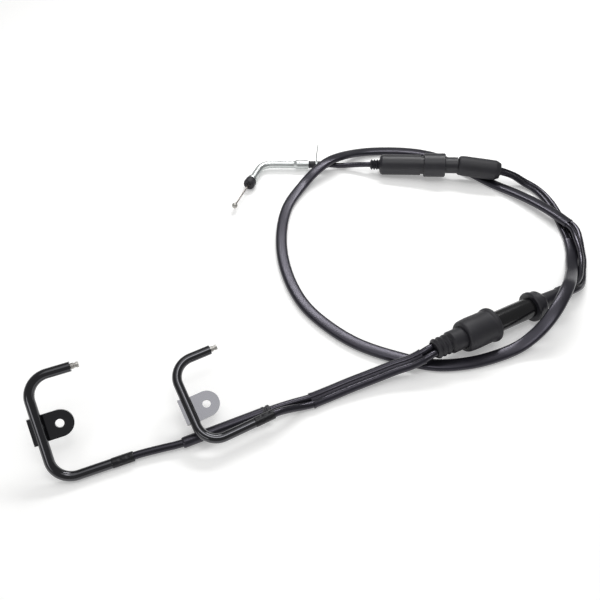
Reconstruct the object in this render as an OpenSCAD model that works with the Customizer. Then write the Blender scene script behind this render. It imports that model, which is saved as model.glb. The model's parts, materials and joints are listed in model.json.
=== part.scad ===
// Two-branch throttle cable assembly with a swivelling grip elbow, a one-to-two
// splitter, an in-line junction and two bent carburettor pipes with brackets.
// It lies on the plane z = 0, with its longest side along X. Lengths are millimetres.

/* [Cables] */
// Diameter of the two branch conduits at the pipe end
conduit_d = 5.2; // [4.6:0.1:6.4]
// Diameter of the two thin conduits between the splitter and the junction
twin_d = 4.5; // [3.8:0.1:4.6]
// Diameter of the single conduit at the grip end
lead_d = 5; // [4:0.1:6]
// Diameter of the stranded inner wire
wire_d = 1.5; // [1.2:0.1:1.8]
// Width of the flat sleeve round the loop
sleeve_w = 9.8; // [8:0.1:11.5]
// Thickness of the flat sleeve round the loop
sleeve_t = 5.4; // [4.4:0.1:5.6]
// Wall of the figure-eight sleeve on the two branches
pair_wall = 0.45; // [0.3:0.05:0.8]
// Distance that every inner wire slides
wire_travel = 15; // [8:0.5:17]

/* [Carburettor pipes] */
// Outside diameter of the two bent pipes
pipe_d = 6.5; // [5.5:0.1:8]
// Bore of the two bent pipes
pipe_bore = 3.2; // [2.6:0.1:4]
// Centre-line radius of each pipe bend
pipe_bend = 14; // [12:0.5:16]
// Long leg of the left pipe, corner to corner
leg_a = 67.5; // [54:0.5:82]
// Long leg of the right pipe, corner to corner
leg_b = 58; // [54:0.5:72]
// Mouth leg of both pipes, corner to mouth
mouth_leg = 28.5; // [26:0.5:36]
// Cable leg of both pipes, corner to end
cable_leg = 39; // [36:0.5:39.5]
// Wall added by the crimped ferrule over the pipe end
crimp_wall = 0.3; // [0.2:0.05:0.6]
// Length of the crimped ferrule
crimp_len = 14; // [11:0.5:17]
// Diameter of the end nipple at each pipe mouth
end_nipple_d = 3.9; // [3.5:0.1:4.6]
// Length of the end nipple
end_nipple_len = 4.6; // [3.5:0.1:6]

/* [Brackets] */
// Width of each bracket plate
bracket_w = 17.5; // [14:0.5:22]
// Plate thickness
bracket_t = 2; // [1.2:0.1:2.6]
// Bolt hole diameter, M5 clearance
hole_d = 5.5; // [4.5:0.1:6.6]
// Distance from the pipe's axis to the hole
hole_reach = 12; // [10:0.5:15]
// Height of the left bracket along its pipe
bracket_a_up = 34.5; // [27:0.5:40]
// Height of the right bracket along its pipe
bracket_b_up = 25.5; // [24:0.5:32]

/* [Guide tube] */
// Outside diameter of the stiff guide tube on the long branch
guide_d = 7.4; // [6.6:0.1:7.6]
// Length of the guide tube with its collar
guide_len = 62; // [50:1:64]

/* [Grip elbow] */
// Outside diameter of the elbow pipe
elbow_d = 6.8; // [6:0.1:8]
// Bore of the elbow pipe
elbow_bore = 4; // [3:0.1:4.6]
// Centre-line radius of the elbow's bend
elbow_bend = 12; // [10:0.5:14]
// Angle that the elbow turns through
elbow_angle = 70; // [45:1:90]
// Cable leg of the elbow, corner to socket mouth
elbow_long = 45; // [38:0.5:54]
// Outlet leg of the elbow, corner to its end behind the dust cap
elbow_short = 29; // [26:0.5:35]
// Outside diameter of the swivel socket
socket_d = 8.4; // [8:0.1:9.5]
// Length of the swivel socket
socket_len = 11; // [9:0.5:14]
// Diameter of the locating flange
flange_d = 9.6; // [8.6:0.1:12]
// Diameter of the rubber dust cap
cap_d = 10.8; // [9:0.1:12]
// Length of the rubber dust cap
cap_len = 8.5; // [7:0.5:11]
// Wire showing between the dust cap and the pull nipple
pull_reach = 28; // [24:0.5:34]
// Diameter of the pull nipple
pull_nipple_d = 5.2; // [4.5:0.1:6.5]

/* [Splitter] */
// Body diameter of the splitter
body_d = 19; // [16:0.5:19]
// Body length of the splitter
body_len = 39; // [37:0.5:46]
// Ring diameter of the splitter
ring_d = 22; // [20:0.5:24]
// Ring length of the splitter
ring_len = 20; // [17:0.5:22]
// Diameter of the neck behind the ring
neck_d = 15; // [13:0.5:16]
// Length of neck that shows
neck_len = 13; // [11:0.5:16]
// Diameter of the rubber outlet boot
outlet_d = 18.4; // [16:0.2:18.6]
// Length of the rubber outlet boot
outlet_len = 38; // [32:0.5:40]
// Diameter of the rubber inlet boot
inlet_d = 10; // [8.5:0.1:12]

/* [Junction] */
// Outside diameter of the junction tube
tube_d = 16; // [14:0.2:19]
// Wall of the junction tube
tube_wall = 1.8; // [1.2:0.1:2.4]
// Length of the junction tube from the plug to the end cap
tube_len = 66; // [60:1:68]
// Diameter of the big rubber boot
boot_d = 24.6; // [21:0.2:25]
// Length of the big rubber boot
boot_len = 28; // [23:0.5:33]
// Diameter of the rim at the boot's open end
rim_d = 26.6; // [25.5:0.2:27]
// Diameter of the end cap's flange
cap_flange_d = 23.4; // [20:0.2:24]
// Diameter of the bellows' folds
bellows_d = 15; // [12.5:0.2:15.4]

/* [Fits] */
// Radial clearance of parts that slide or turn in each other
running = 0.06; // [0.03:0.01:0.1]
// Clearance round an inner wire in its bore
wire_clear = 0.3; // [0.25:0.05:0.5]

/* [Hidden] */
$fn = 48;

// Places: a point, the heading in plan and the climb, which local X follows
elbow_at = [-57, 160, 6];
splitter_at = [48, 156, 9];
splitter_turn = -7.5;
splitter_climb = 4.8;
outlet_turn = -10.5;
outlet_climb = -2;
junction_at = [75.5, -71, 15.6];
junction_turn = 27.9;
junction_climb = -2;
guide_at = [-40, -113, 4];
guide_turn = 203.7;
pipe_rest = pipe_d / 2 + crimp_wall;
hook_a_at = [-172.8, -164.8, pipe_rest];
hook_a_turn = 21.5;
hook_a_tilt = 45;
hook_b_at = [-80.5, -143.5, 11];
hook_b_turn = 28.5;
hook_b_tilt = 20;

// How far thicker branch conduits move apart where they leave their sleeve
spread = (conduit_d - 5.2) / 2;

// Routes: each point is x, y, z and the roll of the section about the cable
lead_route = [
    [6, 160, 6, 0], [19, 160.4, 4.6, 0], [34, 159, 6.5, 0], [45, 156.4, 8.8, 0], [51, 155.6, 9.2, 0]
];
twin_route = [
    [165.4, 138.7, 14.8, 0], [169, 138, 14.6, 0], [175, 137.2, 13.2, 0], [183.5, 137, 9.5, 0],
    [192.4, 133.6, 5.4, 0], [202.2, 126.3, 3, 0], [209.2, 111.7, 2.4, 0], [212.5, 94, 2.4, 0],
    [213.5, 76, 2.4, 0], [213.8, 56.5, 2.6, 0]
];
loop_route = [
    [213.8, 55.3, 2.9, 0], [211.5, 41, 2.9, 0], [207.5, 29, 4, 0], [202, 15, 8, 0],
    [195, 1.5, 14.5, 0], [186.5, -13.7, 21.7, 0], [177.5, -28, 22.4, 0], [169, -39.5, 20, 0],
    [161.5, -47.5, 15.5, 0], [153, -54, 10, 0], [141.5, -60.5, 5, 0], [121, -68.5, 2.9, 0],
    [100, -74, 2.9, 0], [77, -75.2, 2.9, 0], [50, -68, 2.9, 0], [23.4, -56.5, 2.9, 0],
    [2.5, -40.5, 2.9, 0], [-16.6, -18, 2.9, 0], [-30.3, 15, 2.9, 0], [-36.2, 56, 2.9, 0],
    [-31.4, 100, 3, 0], [-17, 129.2, 5.5, 0], [-6.3, 142.4, 9.8, 0], [7.2, 155.6, 12.8, 0],
    [21, 167.4, 10.6, 0], [41.3, 181.4, 5, 0], [63.3, 186.5, 2.9, 0], [86, 185.5, 2.9, 0], [103, 182, 2.9, 0],
    [120.6, 173.8, 2.9, 0], [143, 154, 2.9, 0], [163.5, 133.6, 3.2, 0], [179.5, 119.1, 4.6, 0],
    [192.5, 104.8, 6.4, 0], [202.3, 91.6, 7.8, 0], [209.4, 81.2, 8.3, 0], [215.8, 71.2, 8.3, 0]
];
tail_route = [
    [215.9, 70.6, 8.3, 0], [217.3, 68.2, 8.5, 0], [218.5, 62, 8.9, -8], [218, 52, 8.6, -20],
    [217.4, 41, 7.2, -40],
    [216, 29.5, 5.6, -45], [212.5, 18, 5, -50], [208, 6.5, 6, -40], [203, -1, 8.3, -25],
    [197.5, -5.9, 10.4, -8], [190.3, -10.2, 11.1, 0], [186.4, -12.3, 11.2, 0]
];
stub_route = [[79.9, -68.7, 15.4, 0], [75.5, -71, 15.5, 0], [71.5, -73.1, 14.9, 0], [67.5, -75.1, 13.6, 0]];
pair_route = [
    [67.3, -75.2, 13.5, 0], [58.5, -78.5, 10.9, 0], [47.5, -81.5, 8.8, 0], [33, -86.5, 6.3, 0],
    [15, -93.5, 4.5, 0], [1, -99.5, 3.3, 0], [-12, -105.5, 3.2, 0]
];
branch_a_route = [
    [-13.3, -103.3 + spread, 3.2, 0], [-27, -107.8 + spread, 3.6, 0], [-40, -113, 4, 0], [-68.5, -125.5, 4, 0],
    [-97, -138, 4, 0], [-110, -141.6, 3.8, 0], [-124, -145.6, pipe_rest + 0.05, 0],
    [-134.9, -149.9, pipe_rest, 0]
];
branch_b_route = [
    [-11, -108.2 - spread, 3.2, 0], [-19.5, -111.2 - spread, 4.7, 0], [-27, -114.7 - spread, 7.7, 0], [-34, -118.3, 10.4, 0],
    [-39, -121, 11, 0], [-44.8, -124.1, 11, 0]
];

// Shared sizes worked out from the ones above
bore_d = wire_d + 2 * wire_clear;
twin_pitch = twin_d + 0.1;
pair_pitch = conduit_d + 0.3;
inlet_len = 9;
socket_depth = 5;
hidden_wire = wire_travel + 2;
groove_len = 3;
body_from = inlet_len;
ring_from = body_from + body_len + groove_len;
neck_from = ring_from + ring_len;
outlet_from = neck_from + neck_len;
slider_len = 10;
slider_from = body_from + 12.5;
bellows_len = 13;
plug_len = 16;
plug_to = bellows_len + plug_len;
tube_to = plug_to + tube_len;
cap_lap = 5;
cap_body_len = 13;
cap_to = tube_to - cap_lap + cap_body_len;
horn_to = cap_to + 16;
junction_to = horn_to + 11;
junction_slider_from = tube_to - slider_len - 5;
elbow_tangent = elbow_bend * tan(elbow_angle / 2);
cap_from = elbow_short - cap_len + 6;
cap_front = cap_from + cap_len;

function heading(path, i) =
    let (last = len(path) - 1, a = path[max(i - 1, 0)], b = path[min(i + 1, last)])
    [b[0] - a[0], b[1] - a[1], b[2] - a[2]] / norm([b[0] - a[0], b[1] - a[1], b[2] - a[2]]);
function spot(p) = [p[0], p[1], p[2]];
function across(path, i) =
    let (t = heading(path, i), s = cross([0, 0, 1], t) / norm(cross([0, 0, 1], t)))
    s * cos(path[i][3]) + cross(t, s) * sin(path[i][3]);
function over(path, i) = cross(heading(path, i), across(path, i));
function beside(path, offset) =
    [for (i = [0:len(path) - 1]) concat(spot(path[i]) + offset * across(path, i), [path[i][3]])];
function round_section(d) = [for (k = [0:7]) d / 2 * [cos(45 * k), sin(45 * k)]];
function oval_section(w, t) =
    [for (k = [0:11]) [(w - t) / 2 * sign(cos(30 * k)) + t / 2 * cos(30 * k), t / 2 * sin(30 * k)]];
function eight_section(pitch, d) = concat(
    [for (a = [-75:30:75]) [pitch / 2 + d / 2 * cos(a), d / 2 * sin(a)]], [[0, 0.36 * d]],
    [for (a = [105:30:255]) [-pitch / 2 + d / 2 * cos(a), d / 2 * sin(a)]], [[0, -0.36 * d]]
);
function bellows_outline(from, to, folds, d_fold, d_root) =
    [for (k = [0:2 * folds]) [from + (to - from) * k / (2 * folds), (k % 2 == 0 ? d_root : d_fold) / 2]];

// A tube of any section along a route
module swept(path, section) {
    n = len(section);
    rings = len(path);
    points = [for (i = [0:rings - 1]) for (p = section)
        spot(path[i]) + p[0] * across(path, i) + p[1] * over(path, i)];
    sides = [for (i = [0:rings - 2]) for (k = [0:n - 1])
        [i * n + k, i * n + (k + 1) % n, (i + 1) * n + (k + 1) % n, (i + 1) * n + k]];
    ends = [[for (k = [n - 1:-1:0]) k], [for (k = [0:n - 1]) (rings - 1) * n + k]];
    polyhedron(points = points, faces = [for (f = concat(sides, ends)) [for (k = [len(f) - 1:-1:0]) f[k]]]);
}

// Local X follows the heading, and climbs
module place(at, turn, climb = 0) {
    translate(at) rotate([0, -climb, turn]) children();
}

// A rod along X between two stations
module rod(d, from, to, y = 0, z = 0) {
    translate([from, y, z]) rotate([0, 90, 0]) cylinder(d = d, h = to - from);
}

// A solid turned about X from its outline of [station, radius] points
module turned(outline) {
    rotate([0, 90, 0]) rotate_extrude() polygon([for (p = outline) [p[1], p[0]]]);
}

// Two rods side by side about X
module twin_rods(d, pitch, from, to) {
    for (side = [-1, 1])
        rod(d, from, to, side * pitch / 2);
}

// A quarter or part bend in the XY plane, from one angle to the next about a centre
module bend(d, radius, centre, from_angle, angle) {
    translate(centre) rotate([0, 0, from_angle])
        rotate_extrude(angle = angle) translate([radius, 0]) circle(d = d);
}

module on_elbow() {
    place(elbow_at, 0) children();
}

module on_outlet_leg() {
    on_elbow() rotate([0, 0, 180 + elbow_angle]) children();
}

module on_splitter() {
    place(splitter_at, splitter_turn, splitter_climb) children();
}

module on_outlet_boot() {
    t = splitter_turn;
    c = splitter_climb;
    place(splitter_at + outlet_from * [cos(c) * cos(t), cos(c) * sin(t), sin(c)], outlet_turn, outlet_climb)
        children();
}

module on_junction() {
    place(junction_at, junction_turn, junction_climb) children();
}

module on_hook_a() {
    translate(hook_a_at) rotate([0, 0, hook_a_turn]) rotate([hook_a_tilt, 0, 0]) children();
}

module on_hook_b() {
    translate(hook_b_at) rotate([0, 0, hook_b_turn]) rotate([hook_b_tilt, 0, 0]) children();
}

// The elbow's centre line as a solid of one diameter, with extra length at each end
module elbow_line(d, extra) {
    on_elbow() {
        rod(d, elbow_tangent, elbow_long + extra);
        bend(d, elbow_bend, [elbow_tangent, -elbow_bend, 0], 90, elbow_angle);
        rotate([0, 0, 180 + elbow_angle]) rod(d, elbow_tangent, elbow_short + extra);
    }
}

module pull_nipple() {
    color("gainsboro") on_outlet_leg() {
        turned([
            [cap_front + pull_reach - 1, 0], [cap_front + pull_reach - 1, wire_d / 2 + 0.4],
            [cap_front + pull_reach + 1.5, pull_nipple_d / 2 - 0.4], [cap_front + pull_reach + 1.5, 0]
        ]);
        translate([cap_front + pull_reach + 2.6, 0, 0]) sphere(d = pull_nipple_d);
    }
}

module pull_wire() {
    color("silver") on_outlet_leg() rod(wire_d, cap_front - 8, cap_front + pull_reach - 1);
}

module dust_cap() {
    color("dimgray") on_outlet_leg() difference() {
        turned([
            [cap_from, 0], [cap_from, cap_d / 2 - 1], [cap_from + 1, cap_d / 2],
            [cap_front - 2.5, cap_d / 2], [cap_front - 0.8, cap_d / 2 - 1.6], [cap_front, cap_d / 4], [cap_front, 0]
        ]);
        rod(elbow_d, cap_from - 1, elbow_short);
        rod(bore_d, elbow_short - 1, cap_front + 1);
    }
}

module elbow_pipe() {
    color("whitesmoke") difference() {
        union() {
            elbow_line(elbow_d, 0);
            on_elbow() turned([
                [elbow_long - socket_len - 3, elbow_d / 2 - 0.5], [elbow_long - socket_len - 3, elbow_d / 2],
                [elbow_long - socket_len, socket_d / 2], [elbow_long, socket_d / 2], [elbow_long, elbow_d / 2 - 0.5]
            ]);
            on_outlet_leg() rod(flange_d, cap_from - 2.6, cap_from);
        }
        elbow_line(elbow_bore, 1);
        on_elbow() rod(elbow_bore + 1.4 + 2 * running, elbow_long - socket_len, elbow_long + 1);
    }
}

module swivel_spigot() {
    color("silver") on_elbow() difference() {
        rod(elbow_bore + 1.4, elbow_long - socket_len + 0.5, elbow_long + 14);
        rod(bore_d, elbow_long - socket_len - 1, elbow_long + 15);
    }
}

module swivel_seal() {
    color("dimgray") on_elbow() difference() {
        union() {
            rod(elbow_d - 0.6, elbow_long + 0.3, elbow_long + 7.2);
            for (k = [0:2])
                rod(elbow_d + 0.2, elbow_long + 0.8 + 2.2 * k, elbow_long + 2.2 + 2.2 * k);
        }
        rod(elbow_bore + 1.4, elbow_long, elbow_long + 8);
    }
}

module clip_ring() {
    color("gainsboro") on_elbow() {
        difference() {
            rod(elbow_d + 0.4, elbow_long + 7.2, elbow_long + 8.6);
            rod(elbow_bore + 1.4, elbow_long + 7, elbow_long + 9);
        }
        translate([elbow_long + 7.9, 0, elbow_d / 2]) cylinder(d = 0.9, h = 8);
        translate([elbow_long + 7.9, 0, elbow_d / 2 + 7.8]) rotate([0, 6, 0]) cylinder(d = 0.9, h = 12);
    }
}

module lead_ferrule() {
    color("dimgray") on_elbow() difference() {
        turned([
            [elbow_long + 8.6, 0], [elbow_long + 8.6, lead_d / 2 + 0.7], [elbow_long + 19, lead_d / 2 + 0.7],
            [elbow_long + 20, lead_d / 2 + 0.3], [elbow_long + 20, 0]
        ]);
        rod(elbow_bore + 1.4, elbow_long + 8, elbow_long + 14);
        rod(lead_d, elbow_long + 14, elbow_long + 21);
    }
    color("dimgray") on_elbow() difference() {
        rod(elbow_bore + 1.4, elbow_long + 14, elbow_long + 14.6);
        rod(bore_d, elbow_long + 13, elbow_long + 15);
    }
}

module lead_conduit() {
    color("#3a3a40") swept(lead_route, round_section(lead_d));
}

module inlet_boot() {
    color("#4a4a4a") on_splitter() difference() {
        turned(concat(
            [[0, 0]], bellows_outline(0, inlet_len - 1, 3, inlet_d, inlet_d - 2.6),
            [[inlet_len, inlet_d / 2 - 0.6], [inlet_len, 0]]
        ));
        rod(lead_d + 0.2, -1, socket_depth - 1.5);
        rod(bore_d, socket_depth - 2, inlet_len + 1);
    }
}

module splitter_body() {
    inner = body_d - 5;
    color("#3d3d3f") on_splitter() difference() {
        turned([
            [body_from, 0], [body_from, body_d / 2 - 3], [body_from + 1.2, body_d / 2 - 0.8],
            [body_from + 3, body_d / 2], [body_from + body_len, body_d / 2],
            [body_from + body_len, body_d / 2 - 1], [ring_from + 6, body_d / 2 - 1], [ring_from + 6, 0]
        ]);
        rod(inner, slider_from - 0.5, ring_from + 7);
        rod(bore_d, body_from - 1, slider_from);
    }
}

module splitter_slider() {
    color("silver") on_splitter() difference() {
        rod(body_d - 5 - 2 * running, slider_from, slider_from + slider_len);
        rod(wire_d, slider_from - 1, slider_from + 3);
        twin_rods(wire_d, twin_pitch, slider_from + slider_len - 3, slider_from + slider_len + 1);
    }
}

module splitter_wires() {
    color("silver") on_splitter() {
        rod(wire_d, slider_from - 0.5 - hidden_wire, slider_from + 3);
        twin_rods(wire_d, twin_pitch, slider_from + slider_len - 3, ring_from + 6 + 3);
    }
}

module splitter_ring() {
    color("#48484a") on_splitter() difference() {
        turned([
            [ring_from, 0], [ring_from, ring_d / 2 - 0.6], [ring_from + 0.6, ring_d / 2],
            [neck_from - 0.8, ring_d / 2], [neck_from, ring_d / 2 - 0.8], [neck_from, 0]
        ]);
        rod(body_d - 2, ring_from - 1, ring_from + 6);
        rod(neck_d, ring_from + 5, neck_from + 1);
    }
}

module splitter_neck() {
    color("#3d3d3f") on_splitter() difference() {
        rod(neck_d, ring_from + 6, outlet_from - 1.5);
        twin_rods(bore_d, twin_pitch, ring_from + 5, outlet_from);
    }
}

module outlet_boot() {
    lip = 1.5;
    color("#4a4a4a") on_outlet_boot() difference() {
        turned([
            [0, 0], [0, outlet_d / 2 - 1], [lip, outlet_d / 2 - 0.2], [3 * lip, outlet_d / 2],
            [outlet_len - 6, outlet_d / 2], [outlet_len, outlet_d / 2 - 3.4], [outlet_len, 0]
        ]);
        twin_rods(bore_d, twin_pitch, -1, outlet_len - 3);
        twin_rods(twin_d, twin_pitch, outlet_len - 3.5, outlet_len + 1);
    }
}

module twin_conduit_a() {
    color("#3a3a40") swept(beside(twin_route, twin_pitch / 2), round_section(twin_d));
}

module twin_conduit_b() {
    color("#3a3a40") swept(beside(twin_route, -twin_pitch / 2), round_section(twin_d));
}

module loop_sleeve() {
    color("#333338") swept(loop_route, oval_section(sleeve_w, sleeve_t));
}

module tail_conduit_a() {
    color("#3a3a40") swept(beside(tail_route, twin_pitch / 2), round_section(twin_d));
}

module tail_conduit_b() {
    color("#3a3a40") swept(beside(tail_route, -twin_pitch / 2), round_section(twin_d));
}

module right_bellows() {
    color("#4a4a4a") on_junction() difference() {
        turned(concat(
            [[horn_to, 0]], bellows_outline(horn_to, junction_to, 3, 2 * twin_d + 3.2, 2 * twin_d + 1.4),
            [[junction_to, 0]]
        ));
        twin_rods(bore_d, twin_pitch, horn_to - 1, junction_to - socket_depth + 0.5);
        twin_rods(twin_d, twin_pitch, junction_to - socket_depth, junction_to + 1);
    }
}

module junction_cap() {
    from = tube_to - cap_lap;
    color("#48484a") on_junction() difference() {
        turned([
            [from, 0], [from, cap_flange_d / 2 - 0.8], [from + 1, cap_flange_d / 2],
            [from + 2.6, cap_flange_d / 2], [from + 3.6, cap_flange_d / 2 - 1.2],
            [from + 8, tube_d / 2 + 2.6], [cap_to - 1.5, tube_d / 2], [cap_to, tube_d / 2 - 2],
            [cap_to + 1, twin_d + 1.6], [horn_to, twin_d + 0.9], [horn_to, 0]
        ]);
        rod(tube_d, from - 1, tube_to);
        twin_rods(bore_d, twin_pitch, tube_to - 1, horn_to + 1);
    }
}

module junction_tube() {
    color("#3d3d3f") on_junction() difference() {
        rod(tube_d, plug_to, tube_to);
        rod(tube_d - 2 * tube_wall, plug_to - 1, tube_to + 1);
    }
}

module junction_slider() {
    to = junction_slider_from + slider_len;
    color("silver") on_junction() difference() {
        rod(tube_d - 2 * tube_wall - 2 * running, junction_slider_from, to);
        twin_rods(wire_d, pair_pitch, junction_slider_from - 1, junction_slider_from + 3);
        twin_rods(wire_d, twin_pitch, to - 3, to + 1);
    }
}

module junction_wires() {
    to = junction_slider_from + slider_len;
    color("silver") on_junction() {
        twin_rods(wire_d, pair_pitch, plug_to + 4, junction_slider_from + 3);
        twin_rods(wire_d, twin_pitch, to - 3, tube_to + hidden_wire);
    }
}

module main_boot() {
    from = plug_to - 4;
    to = plug_to + boot_len - 4;
    color("#464646") on_junction() difference() {
        turned([
            [from, 0], [from, boot_d / 2 - 1.6], [from + 1.6, boot_d / 2 - 0.4], [from + 4, boot_d / 2],
            [to - 4, boot_d / 2], [to - 3, rim_d / 2 - 0.4], [to - 2, rim_d / 2], [to - 0.5, rim_d / 2],
            [to, rim_d / 2 - 0.8], [to, 0]
        ]);
        turned([
            [from + 2.5, 0], [from + 2.5, tube_d / 2 + 0.6], [from + 4.5, boot_d / 2 - 1.8],
            [to - 5, boot_d / 2 - 1.8], [to - 3.5, tube_d / 2], [to + 1, tube_d / 2], [to + 1, 0]
        ]);
        rod(tube_d + 0.4, from - 1, from + 4);
    }
}

module junction_plug() {
    color("#4a4a4a") on_junction() difference() {
        union() {
            turned([
                [bellows_len, 0], [bellows_len, tube_d / 2 - 1.5], [bellows_len + 1.5, tube_d / 2 + 0.2],
                [plug_to, tube_d / 2 + 0.2], [plug_to, 0]
            ]);
            rod(tube_d - 2 * tube_wall, plug_to, plug_to + 6);
        }
        twin_rods(bore_d, pair_pitch, bellows_len - 1, plug_to + 7);
    }
}

module left_bellows() {
    color("#4a4a4a") on_junction() difference() {
        turned(concat(
            [[0, 0]], bellows_outline(0, bellows_len, 3, bellows_d, bellows_d - 3), [[bellows_len, 0]]
        ));
        twin_rods(conduit_d, pair_pitch, -1, socket_depth);
        twin_rods(bore_d, pair_pitch, socket_depth - 1, bellows_len + 1);
    }
}

module stub_conduits() {
    color("#3a3a40")
        for (side = [-1, 1])
            swept(beside(stub_route, side * pair_pitch / 2), round_section(conduit_d));
}

module pair_sleeve() {
    color("#333338") swept(pair_route, eight_section(pair_pitch, conduit_d + 2 * pair_wall));
}

module branch_conduit_a() {
    color("#3a3a40") swept(branch_a_route, round_section(conduit_d));
}

module branch_conduit_b() {
    color("#3a3a40") swept(branch_b_route, round_section(conduit_d));
}

module guide_collar() {
    color("#2f2f31") place(guide_at, guide_turn) difference() {
        turned([
            [0, 0], [0, guide_d / 2 - 0.8], [0.8, guide_d / 2 + 0.3], [2.6, guide_d / 2 + 0.3],
            [3.2, guide_d / 2 - 0.3], [4, guide_d / 2 - 0.3], [4.6, guide_d / 2 + 0.2],
            [6, guide_d / 2 + 0.2], [6, 0]
        ]);
        rod(conduit_d, -1, 7);
    }
}

module guide_tube() {
    color("#333338") place(guide_at, guide_turn) difference() {
        turned([
            [6, 0], [6, guide_d / 2], [guide_len - 1, guide_d / 2], [guide_len, guide_d / 2 - 0.3], [guide_len, 0]
        ]);
        rod(conduit_d, 5, guide_len + 1);
    }
}

// A crimped ferrule over a pipe end, with two pressed grooves
module crimp() {
    from = cable_leg - 4;
    to = from + crimp_len;
    r = pipe_d / 2 + crimp_wall;
    difference() {
        turned([
            [from, 0], [from, r - 0.1], [from + 0.4, r], [from + 4.6, r], [from + 5.1, r - 0.4],
            [from + 6.3, r - 0.4], [from + 6.8, r], [from + 9, r], [from + 9.5, r - 0.4],
            [to - 2.6, r - 0.4], [to - 2.1, r], [to, r - 0.1], [to, 0]
        ]);
        rod(pipe_d, from - 1, cable_leg);
        rod(conduit_d, cable_leg - 1, to + 1);
    }
}

module crimp_a() {
    color("#2f2f31") on_hook_a() crimp();
}

module crimp_b() {
    color("#2f2f31") on_hook_b() crimp();
}

// The centre line of a bent pipe as a solid of one diameter
module pipe_line(d, leg, extra) {
    rod(d, pipe_bend, cable_leg + extra);
    bend(d, pipe_bend, [pipe_bend, pipe_bend, 0], 180, 90);
    translate([0, pipe_bend, 0]) rotate([-90, 0, 0]) cylinder(d = d, h = leg - 2 * pipe_bend);
    bend(d, pipe_bend, [pipe_bend, leg - pipe_bend, 0], 90, 90);
    rod(d, pipe_bend, mouth_leg + extra, leg);
}

module bent_pipe(leg) {
    difference() {
        pipe_line(pipe_d, leg, 0);
        pipe_line(pipe_bore, leg, 1);
    }
}

module pipe_a() {
    color("#1c1c1e") on_hook_a() bent_pipe(leg_a);
}

module pipe_b() {
    color("#1c1c1e") on_hook_b() bent_pipe(leg_b);
}

// A plate behind the pipe, curled round its outer side, with a bolt hole
module bracket(up) {
    r = pipe_d / 2;
    translate([0, up, 0]) difference() {
        intersection() {
            rotate([90, 0, 0]) translate([0, 0, -bracket_w / 2]) linear_extrude(height = bracket_w) {
                translate([0, -r - bracket_t]) square([hole_reach + bracket_w / 2 + 1, bracket_t]);
                difference() {
                    circle(r = r + bracket_t);
                    circle(r = r);
                    translate([0, -3 * r]) square(6 * r);
                    translate([-3 * r, r * 0.35]) square(6 * r);
                }
            }
            translate([0, 0, -2 * r - bracket_t]) linear_extrude(height = 4 * r + 2 * bracket_t) union() {
                translate([-2 * r, -bracket_w / 2]) square([2 * r + hole_reach, bracket_w]);
                translate([hole_reach, 0]) circle(d = bracket_w);
            }
        }
        translate([hole_reach, 0, -r - bracket_t - 1]) cylinder(d = hole_d, h = bracket_t + 2);
    }
}

module bracket_a() {
    color("#1c1c1e") on_hook_a() bracket(bracket_a_up);
}

module bracket_b() {
    color("#55555c") on_hook_b() bracket(bracket_b_up);
}

module end_wire(leg) {
    rod(wire_d, mouth_leg - hidden_wire, mouth_leg + 0.3, leg);
}

module end_nipple(leg) {
    from = mouth_leg + 0.3;
    to = from + end_nipple_len;
    translate([0, leg, 0]) turned([
        [from, 0], [from, end_nipple_d / 2], [from + 1.6, end_nipple_d / 2], [from + 1.9, end_nipple_d / 2 - 0.4],
        [to - 1.6, end_nipple_d / 2 - 0.4], [to - 1.3, end_nipple_d / 2], [to, end_nipple_d / 2 - 0.2], [to, 0]
    ]);
}

module end_wire_a() {
    color("silver") on_hook_a() end_wire(leg_a);
}

module end_wire_b() {
    color("silver") on_hook_b() end_wire(leg_b);
}

module end_nipple_a() {
    color("gainsboro") on_hook_a() end_nipple(leg_a);
}

module end_nipple_b() {
    color("gainsboro") on_hook_b() end_nipple(leg_b);
}

pull_nipple();
pull_wire();
dust_cap();
elbow_pipe();
swivel_spigot();
swivel_seal();
clip_ring();
lead_ferrule();
lead_conduit();
inlet_boot();
splitter_body();
splitter_slider();
splitter_wires();
splitter_ring();
splitter_neck();
outlet_boot();
twin_conduit_a();
twin_conduit_b();
loop_sleeve();
tail_conduit_a();
tail_conduit_b();
right_bellows();
junction_cap();
junction_tube();
junction_slider();
junction_wires();
main_boot();
junction_plug();
left_bellows();
stub_conduits();
pair_sleeve();
branch_conduit_a();
branch_conduit_b();
guide_collar();
guide_tube();
crimp_a();
crimp_b();
pipe_a();
pipe_b();
bracket_a();
bracket_b();
end_wire_a();
end_wire_b();
end_nipple_a();
end_nipple_b();
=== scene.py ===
# %% [markdown]
# # A two-branch throttle cable, laid out on a table
# The assembly is a control cable for a scooter: a bright elbow at the twist grip, a splitter that
# turns one wire into two, a long loop of sleeved conduit, an in-line junction, and two bent steel
# pipes with brackets that bolt beside the carburettors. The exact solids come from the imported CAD
# frame, and this lesson adds what CAD leaves plain: the flexible conduits and sleeves, the
# stranded wire, soft rubber folds, and a finish for every surface.

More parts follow.
